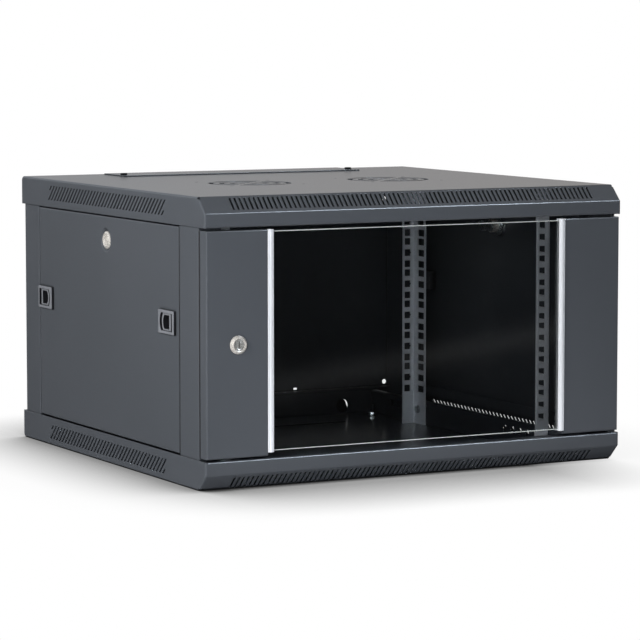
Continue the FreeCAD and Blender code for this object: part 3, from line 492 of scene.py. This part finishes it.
trim_metal, tree, shader = bare_material("bright trim")
drawn = cloud(tree, 0.0014, 3.0, (1.0, 1.0, 0.03))
tree.links.new(two_tones(tree, drawn, (0.57, 0.58, 0.60), (0.63, 0.64, 0.66)),
               shader.inputs["Base Color"])
tree.links.new(between(tree, drawn, 0.34, 0.46), shader.inputs["Roughness"])


def walled(name, points, faces, *materials):
    """A closed piece from its corners and faces, with the faces turned outwards."""
    mesh = bpy.data.meshes.new(name)
    mesh.from_pydata(points.reshape(-1, 3).tolist(), [], faces)
    turned_out = bmesh.new()
    turned_out.from_mesh(mesh)
    bmesh.ops.recalc_face_normals(turned_out, faces=turned_out.faces)
    turned_out.to_mesh(mesh)
    turned_out.free()
    for material in materials:
        mesh.materials.append(material)
    piece = bpy.data.objects.new(name, mesh)
    bpy.context.scene.collection.objects.link(piece)
    return piece


def trim_strip(name, side):
    """A trim strip, its outline carried up the door.

    Across its width w the face is a crown, y = front - proud (1/2 + 1/2 sin(pi w)), with a
    narrow groove near its outer edge. Behind it the outline goes round the pane's channel.
    """
    low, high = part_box(name)
    inner = 0.2069
    outer = 0.2145
    front = -0.290
    proud = 0.0022
    share = np.linspace(0.0, 1.0, 25)
    crown = front - proud * (0.5 + 0.5 * np.sin(np.pi * share))
    groove = 0.0012 * np.exp(-((share - 0.80) / 0.05) ** 2)
    face = np.stack([inner + (outer - inner) * share, crown + groove], axis=-1)
    back = np.array([
        (outer, front + 0.0068), (outer + 0.0170, front + 0.0068), (outer + 0.0170, front + 0.0082),
        (inner, front + 0.0082), (inner, front + 0.0062), (outer - 0.0020, front + 0.0062),
        (outer - 0.0020, front + 0.0018), (inner, front + 0.0018),
    ])
    outline = np.concatenate([face, back])
    count = len(outline)
    points = np.empty((2, count, 3))
    points[..., 0] = side * outline[:, 0]
    points[..., 1] = outline[:, 1]
    points[..., 2] = np.array([low[2], high[2]])[:, None]
    ring = np.arange(count)
    walls = np.stack([ring, (ring + 1) % count, (ring + 1) % count + count, ring + count], axis=-1)
    faces = walls.tolist() + [ring.tolist(), (ring + count)[::-1].tolist()]
    piece = walled(name + "_strip", points, faces, trim_metal)
    piece.data.shade_smooth()
    piece.data.set_sharp_from_angle(angle=math.radians(30))
    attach(piece, "door")
    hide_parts(name)


trim_strip("door_left_trim", -1)
trim_strip("door_right_trim", 1)

trim_screw_column = 0.224
trim_back_face = -0.2818
lowest_trim_screw = 0.065
trim_screw_pitch = 0.0575
for side, name in ((-1, "left"), (1, "right")):
    for step in range(5):
        height = lowest_trim_screw + step * trim_screw_pitch
        seat = (side * trim_screw_column, trim_back_face, height)
        screw = cross_head(f"trim_{name}_screw_{step}", seat, (0, 1, 0), 0.0030, 0.0014, zinc)
        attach(screw, "door")


def worked_out(tree, operation, *given):
    """The result of one step of arithmetic on sockets and plain numbers."""
    step = tree.nodes.new("ShaderNodeMath")
    step.operation = operation
    for entry, value in zip(step.inputs, given):
        feed(tree, entry, value)
    return step.outputs["Value"]


def mixed_shaders(tree, share, first, second):
    """The first shader where the share is 0 and the second where it is 1."""
    mix = tree.nodes.new("ShaderNodeMixShader")
    tree.links.new(share, mix.inputs["Fac"])
    tree.links.new(first.outputs[0], mix.inputs[1])
    tree.links.new(second.outputs[0], mix.inputs[2])
    return mix


clear, tree, shader = bare_material("clear glass")
shader.inputs["Base Color"].default_value = (0.90, 0.93, 0.92, 1.0)
shader.inputs["Roughness"].default_value = 0.0
shader.inputs["IOR"].default_value = 1.5
shader.inputs["Transmission Weight"].default_value = 1.0
ray = tree.nodes.new("ShaderNodeLightPath")
through = tree.nodes.new("ShaderNodeBsdfTransparent")
through.inputs["Color"].default_value = (0.40, 0.40, 0.405, 1.0)
# Shadows and soft light pass straight through the pane, dimmed by its tint.
straight = worked_out(tree, "MAXIMUM", ray.outputs["Is Shadow Ray"], ray.outputs["Is Diffuse Ray"])
glazed = mixed_shaders(tree, straight, shader, through)
tree.links.new(glazed.outputs["Shader"], tree.nodes["Material Output"].inputs["Surface"])

ground, tree, shader = mottled(
    "ground glass edge", 0.002, (0.62, 0.66, 0.63), (0.82, 0.85, 0.80), 0.0005, 0.25, 0.5)
shader.inputs["Transmission Weight"].default_value = 0.15

pane_low, pane_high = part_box("door_glass")
bevel = 0.0009
# The pane is four loops of four corners: the clear face, its ground bevel, the edge, and back.
inset = np.array([bevel, 0.0, 0.0, bevel])
depth = np.array([pane_low[1], pane_low[1] + bevel, pane_high[1] - bevel, pane_high[1]])
corner_x = np.array([0, 1, 1, 0])
corner_z = np.array([0, 0, 1, 1])
left, right = pane_low[0] + inset, pane_high[0] - inset
bottom, top = pane_low[2] + inset, pane_high[2] - inset
pane_points = np.stack([
    left[:, None] + (right - left)[:, None] * corner_x,
    np.repeat(depth[:, None], 4, axis=1),
    bottom[:, None] + (top - bottom)[:, None] * corner_z,
], axis=-1)
ring = np.arange(4)
onward = (ring + 1) % 4
walls = [np.stack([ring, onward, onward + 4, ring + 4], axis=-1) + 4 * row for row in range(3)]
pane_faces = np.concatenate(walls + [ring[None, ::-1], ring[None] + 12]).tolist()
pane = walled("glass_pane", pane_points, pane_faces, ground, clear)
pane.data.polygons.foreach_set("material_index", [0] * 12 + [1, 1])
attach(pane, "door")
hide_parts("door_glass")


# Key locks
# One cam lock in the door and one in each side panel. The housings and plugs are die-cast and
# satin plated, with a tapered bezel and an upright key slot, and each has a ring nut behind.
plug_metal, tree, shader = mottled(
    "plug metal", 0.002, (0.36, 0.35, 0.33), (0.52, 0.51, 0.48), 0.001, 0.22, 0.38)
shader.inputs["Metallic"].default_value = 0.6

satin, tree, shader = mottled(
    "satin nickel", 0.002, (0.56, 0.525, 0.48), (0.78, 0.74, 0.68), 0.001, 0.20, 0.34)
shader.inputs["Metallic"].default_value = 0.5


def lock_bezel(node, body, face, outward, seat, proud, end):
    """A lock's housing: a bezel with a rounded taper, its sunk rim, and the round body behind.

    The profile is in (radius, distance outward from the panel's face), turned about the axis.
    The bezel seats seat behind the face and stands proud of it, and the body ends end behind.
    """
    bore = 0.00675
    profile = [
        (bore, -end), (0.0090, -end), (0.0090, -seat), (0.0115, -seat), (0.0115, -seat + 0.0008),
        (0.0111, -seat + 0.0016), (0.0096, proud - 0.0007), (0.0089, proud), (0.0080, proud),
        (0.0074, proud - 0.0004), (0.0071, proud - 0.0012), (bore, proud - 0.0016), (bore, -end),
    ]
    piece = laid(node + "_finished", turned(profile, 72, face, outward), satin, across=True)
    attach(piece, body)
    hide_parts(node)


def lock_plug(node, body, face, outward, top, end, metal):
    """A lock's plug, a disc over a round skirt, its face top outward and its foot end behind.

    The face's height is two fine ridges round the edge, less the deep upright key slot.
    """
    radius = 0.0066
    rim = top - 0.0003
    x, y, distance = disc_grid(61)
    ridges = 0.00025 * np.cos(distance * 14.0) * np.clip((distance - 0.45) / 0.1, 0, 1)
    slot = np.clip((0.15 - np.abs(x)) / 0.05, 0, 1) * np.clip((0.62 - np.abs(y)) / 0.05, 0, 1)
    rise = rim + ridges - 0.0040 * slot
    outward = np.array(outward, dtype=float)
    upright = np.array([0.0, 0.0, 1.0])
    level = np.cross(outward, upright)
    spread = radius * x[..., None] * level + radius * y[..., None] * upright
    disc = laid(node + "_face", np.array(face) + spread + rise[..., None] * outward, metal)
    below = [(radius, rim), (radius, -end), (0.0, -end)]
    skirt = laid(node + "_finished", turned(below, 48, face, outward), metal, across=True)
    for piece in (disc, skirt):
        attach(piece, body)
        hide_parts(node)


door_lock_face = (-0.255, -0.290, 0.180)
lock_bezel("door_lock_housing", "door", door_lock_face, (0, -1, 0), seat=0.0, proud=0.0045, end=0.0230)
lock_plug("door_lock_plug", "door_lock", door_lock_face, (0, -1, 0), top=0.0036, end=0.0233,
          metal=plug_metal)
for side, name in ((-1, "left"), (1, "right")):
    panel_lock_face = (side * 0.2985, 0.009, 0.2906)
    outward = (side, 0, 0)
    lock_bezel(f"{name}_lock_housing", f"{name}_panel", panel_lock_face, outward,
               seat=0.0025, proud=0.0005, end=0.0165)
    lock_plug(f"{name}_lock_plug", f"{name}_panel_lock", panel_lock_face, outward,
              top=-0.0003, end=0.0168, metal=satin)
for lock in ("door_lock", "left_lock", "right_lock"):
    for part in ("cam", "nut"):
        refinished(f"{lock}_{part}", zinc)


# Side panels
# Shallow trays of 1.2 mm sheet, with tongues that stand in the covers' landings, a stamped dish
# round the lock, and a window for each slide latch.
merged_copy("left_side_panel", "left_panel", paint)
merged_copy("right_side_panel", "right_panel", paint)


# Shade strips
# Strips of black foam rubber on the frame that paint shade: they darken the front seam beside each
# side panel, the seam beside the door, and the space behind the top cover's side slots, where only
# shade would be.


def painted_shade_strip(name, low, high):
    """A strip of black foam rubber that paints shade into a gap, its rounded section carried up along
    Z and closed at the ends.

    The section is a superellipse: half the size in X times the cosine and half the size in Y
    times the sine, each raised to the power 0.35 with its sign kept.
    """
    turn = np.linspace(0.0, 2.0 * np.pi, 25)[:-1]
    centre = (np.array(low) + np.array(high)) / 2.0
    half = (np.array(high) - np.array(low)) / 2.0
    out = np.array([0.0, 1.0, 1.0, 0.0])[:, None]
    x = centre[0] + out * half[0] * np.sign(np.cos(turn)) * np.abs(np.cos(turn)) ** 0.35
    y = centre[1] + out * half[1] * np.sign(np.sin(turn)) * np.abs(np.sin(turn)) ** 0.35
    z = np.repeat(np.array([low[2], low[2], high[2], high[2]])[:, None], 24, axis=1)
    shade_piece = laid(name, np.stack([x, y, z], axis=-1), rubber, across=True)
    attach(shade_piece, "frame")


panel_face = 0.2985
seam_foot, seam_top = 0.0395, 0.3215
strip_inner, strip_outer = 0.2954, 0.2966
strip_front, strip_rear = -0.200, 0.205
strip_foot, strip_top = 0.3300, 0.3560
for side, name in ((-1, "left"), (1, "right")):
    panel_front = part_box(f"{name}_side_panel")[0][1]
    ends = sorted((side * (panel_face + 0.0001), side * (panel_face - 0.004)))
    painted_shade_strip(f"{name}_panel_seam_shade_strip", (ends[0], panel_front - 0.0024, seam_foot),
              (ends[1], panel_front - 0.0002, seam_top))
    ends = sorted((side * strip_inner, side * strip_outer))
    painted_shade_strip(f"{name}_slot_shade_strip", (ends[0], strip_front, strip_foot),
              (ends[1], strip_rear, strip_top))
painted_shade_strip("door_seam_shade_strip", (-0.2984, -0.2718, 0.0410), (-0.2900, -0.2691, 0.3195))


# Slide latches
# Moulded in grey plastic and snapped into the panels' windows. A finger in the D-shaped cup
# slides the bolt into the post.
plastic, tree, shader = bare_material("grey latch plastic")
moulded = two_tones(tree, cloud(tree, 0.008), (0.13, 0.135, 0.148), (0.15, 0.155, 0.168))
# Painted shade: the plastic is darkened to near black in the cups and windows, where walls stand
# close.
with_painted_shade = painted_crevice_shade(tree, moulded, reach=0.020, samples=16, closed=0.62, opened=0.95, least=0.03)
tree.links.new(with_painted_shade, shader.inputs["Base Color"])
tree.links.new(between(tree, cloud(tree, 0.0008), 0.42, 0.56), shader.inputs["Roughness"])
grained(tree, shader, cloud(tree, 0.0005), 0.00001)
shader.inputs["Specular IOR Level"].default_value = 0.35

for side in ("left", "right"):
    for end in ("front", "rear"):
        merged_copy(f"{side}_{end}_latch_frame", f"{side}_panel", plastic, 0.0005)
        merged_copy(f"{side}_{end}_latch_slider", f"{side}_{end}_latch", plastic, 0.0004)


# Floor
# A plain pale floor, which the camera sees as a white glow. Near the cabinet the glow carries a
# painted shadow, dimmed where the cabinet shuts out the light from above, and further out it is the
# even white of the backdrop.
# Gloss sees a painted reflection instead: a dark floor with one soft glowing streak, as from a lamp's
# edge.
floor_mesh = bpy.data.meshes.new("studio_floor")
floor_mesh.from_pydata([(-40, -40, 0), (40, -40, 0), (40, 40, 0), (-40, 40, 0)], [], [(0, 1, 2, 3)])
floor = bpy.data.objects.new("studio_floor", floor_mesh)
bpy.context.scene.collection.objects.link(floor)
floor_white, tree, shader = bare_material("studio floor")
shade = tree.nodes.new("ShaderNodeAmbientOcclusion")
shade.samples = 32
shade.inputs["Distance"].default_value = 0.27
open_share = ranged(tree, shade.outputs["AO"], 0.0, 0.97, 0.0, 1.0)
place = tree.nodes.new("ShaderNodeTexCoord")
spot = tree.nodes.new("ShaderNodeSeparateXYZ")
tree.links.new(place.outputs["Object"], spot.inputs["Vector"])
# The painted shadow keeps a tenth of its depth to the left of the cabinet, and a little more to the
# right.
left_fade = ranged(tree, spot.outputs["X"], -0.31, -0.46, 1.0, 0.10)
right_fade = ranged(tree, spot.outputs["X"], 0.17, 0.31, 1.0, 0.15)
depth_of_shade = worked_out(tree, "MULTIPLY", left_fade, right_fade)
# Painted shadow: the camera sees a glow whose strength falls where the occlusion is deep.
painted_shadow_glow = tree.nodes.new("ShaderNodeEmission")
deeper = worked_out(tree, "POWER", open_share, 2.0)
tree.links.new(mixed(tree, "FLOAT", depth_of_shade, 1.0, deeper), painted_shadow_glow.inputs["Strength"])
lit = tree.nodes.new("ShaderNodeBsdfDiffuse")
lit.inputs["Color"].default_value = (0.92, 0.92, 0.92, 1.0)

# The painted reflection: the floor glows for gloss alone. The streak's strength is a bell curve
# over the distance from its line, which passes through a point of the floor and is square to the
# streak's normal.
streak_point = np.array([0.26, -1.21, 0.0])
streak_normal = np.array([0.517, 0.856, 0.0])
streak_width = 0.10
painted_streak_strength = 0.09
painted_dull_strength = 0.012
across_streak = tree.nodes.new("ShaderNodeVectorMath")
across_streak.operation = "DOT_PRODUCT"
across_streak.inputs[1].default_value = streak_normal.tolist()
tree.links.new(place.outputs["Object"], across_streak.inputs[0])
to_the_line = -float(streak_normal @ streak_point)
off_line = worked_out(tree, "ADD", across_streak.outputs["Value"], to_the_line)
squared = worked_out(tree, "POWER", worked_out(tree, "ABSOLUTE", off_line), 2.0)
falling = worked_out(tree, "MULTIPLY", squared, -1.0 / streak_width ** 2)
bell = worked_out(tree, "EXPONENT", falling)
dull = tree.nodes.new("ShaderNodeEmission")
tree.links.new(worked_out(tree, "MULTIPLY_ADD", bell, painted_streak_strength, painted_dull_strength),
               dull.inputs["Strength"])
ray = tree.nodes.new("ShaderNodeLightPath")
seen = worked_out(tree, "MAXIMUM", ray.outputs["Is Camera Ray"], ray.outputs["Is Transmission Ray"])
looked_at = mixed_shaders(tree, seen, lit, painted_shadow_glow)
mirrored = worked_out(tree, "MINIMUM", ray.outputs["Glossy Depth"], 1.0)
either = mixed_shaders(tree, mirrored, looked_at, dull)
tree.links.new(either.outputs["Shader"], tree.nodes["Material Output"].inputs["Surface"])
floor_mesh.materials.append(floor_white)


# Backdrop and lamps
# The camera and the light that passes through glass see an even white. The rest of the light
# from the backdrop is soft, bright behind the cabinet and dim in front of it.
world = bpy.data.worlds.new("studio")
bpy.context.scene.world = world
world.use_nodes = True
tree = world.node_tree
ray = tree.nodes.new("ShaderNodeLightPath")
white = worked_out(tree, "MAXIMUM", ray.outputs["Is Camera Ray"], ray.outputs["Is Transmission Ray"])
heading = tree.nodes.new("ShaderNodeSeparateXYZ")
tree.links.new(tree.nodes.new("ShaderNodeTexCoord").outputs["Generated"], heading.inputs["Vector"])
behind = ranged(tree, heading.outputs["Y"], -0.75, 0.1, 0.02, 0.55)
high_up = ranged(tree, heading.outputs["Z"], 0.25, 0.8, 1.0, 0.35)
level = mixed(tree, "FLOAT", white, worked_out(tree, "MULTIPLY", behind, high_up), 1.0)
warmth = ranged(tree, heading.outputs["X"], 0.2, 0.65, 0.0, 1.0)
cool_or_warm = mixed(tree, "RGBA", warmth, (0.90, 0.97, 1.05, 1.0), (0.97, 0.90, 0.85, 1.0))
tinted = mixed(tree, "RGBA", white, cool_or_warm, (1.0, 1.0, 1.0, 1.0))
tree.links.new(level, tree.nodes["Background"].inputs["Strength"])
tree.links.new(tinted, tree.nodes["Background"].inputs["Color"])


def soft_box(name, place, target, width, height, power, tint):
    """A soft box that faces its target."""
    light = bpy.data.lights.new(name, "AREA")
    light.shape = "RECTANGLE"
    light.size = width
    light.size_y = height
    light.energy = power
    light.color = tint
    lamp = bpy.data.objects.new(name, light)
    lamp.location = place
    lamp.rotation_euler = (Vector(target) - Vector(place)).to_track_quat("-Z", "Y").to_euler()
    bpy.context.scene.collection.objects.link(lamp)
    return lamp


# The left and near boxes light the sides, and the edge box puts a fine line of light on the
# bends. The floor card is the light that the white floor throws up on the sloped front.
left_box = soft_box(
    "left_box", (-3.2, -0.9, 1.5), (0.0, 0.0, 0.15), 2.0, 2.4, 98.0, (1.0, 0.97, 0.925))
left_box.visible_glossy = False
near_box = soft_box(
    "near_box", (-1.55, -1.75, 0.6), (-0.1, -0.3, 0.15), 0.8, 0.8, 40.0, (0.90, 0.94, 1.0))
near_box.visible_glossy = False
edge_box = soft_box(
    "edge_box", (1.47, -2.05, 2.15), (0.0, 0.0, 0.17), 0.8, 0.8, 85.0, (0.74, 0.86, 1.0))
edge_box.visible_diffuse = False
floor_card = soft_box(
    "floor_card", (0.0, -0.385, 0.003), (0.0, -0.385, 1.0), 0.62, 0.13, 0.35, (0.95, 0.97, 1.0))
floor_card.visible_camera = False
floor_card.visible_glossy = False
soft_box("front_box", (1.3, -2.9, 2.3), (0.0, 0.0, 0.15), 0.7, 0.5, 3.0, (0.82, 0.91, 1.0))


# Camera
# It stands 4 m from the cabinet, to the left and a little above, with a long lens.
camera_data = bpy.data.cameras.new("camera")
camera_data.sensor_width = 36.0
camera_data.lens = 172.11
camera = bpy.data.objects.new("camera", camera_data)
camera.location = (-1.9026, -3.6193, 0.5774)
camera.rotation_euler = (math.radians(84.358), 0.0, math.radians(-27.867))
bpy.context.scene.collection.objects.link(camera)
bpy.context.scene.camera = camera
bpy.context.scene.view_settings.view_transform = "Standard"
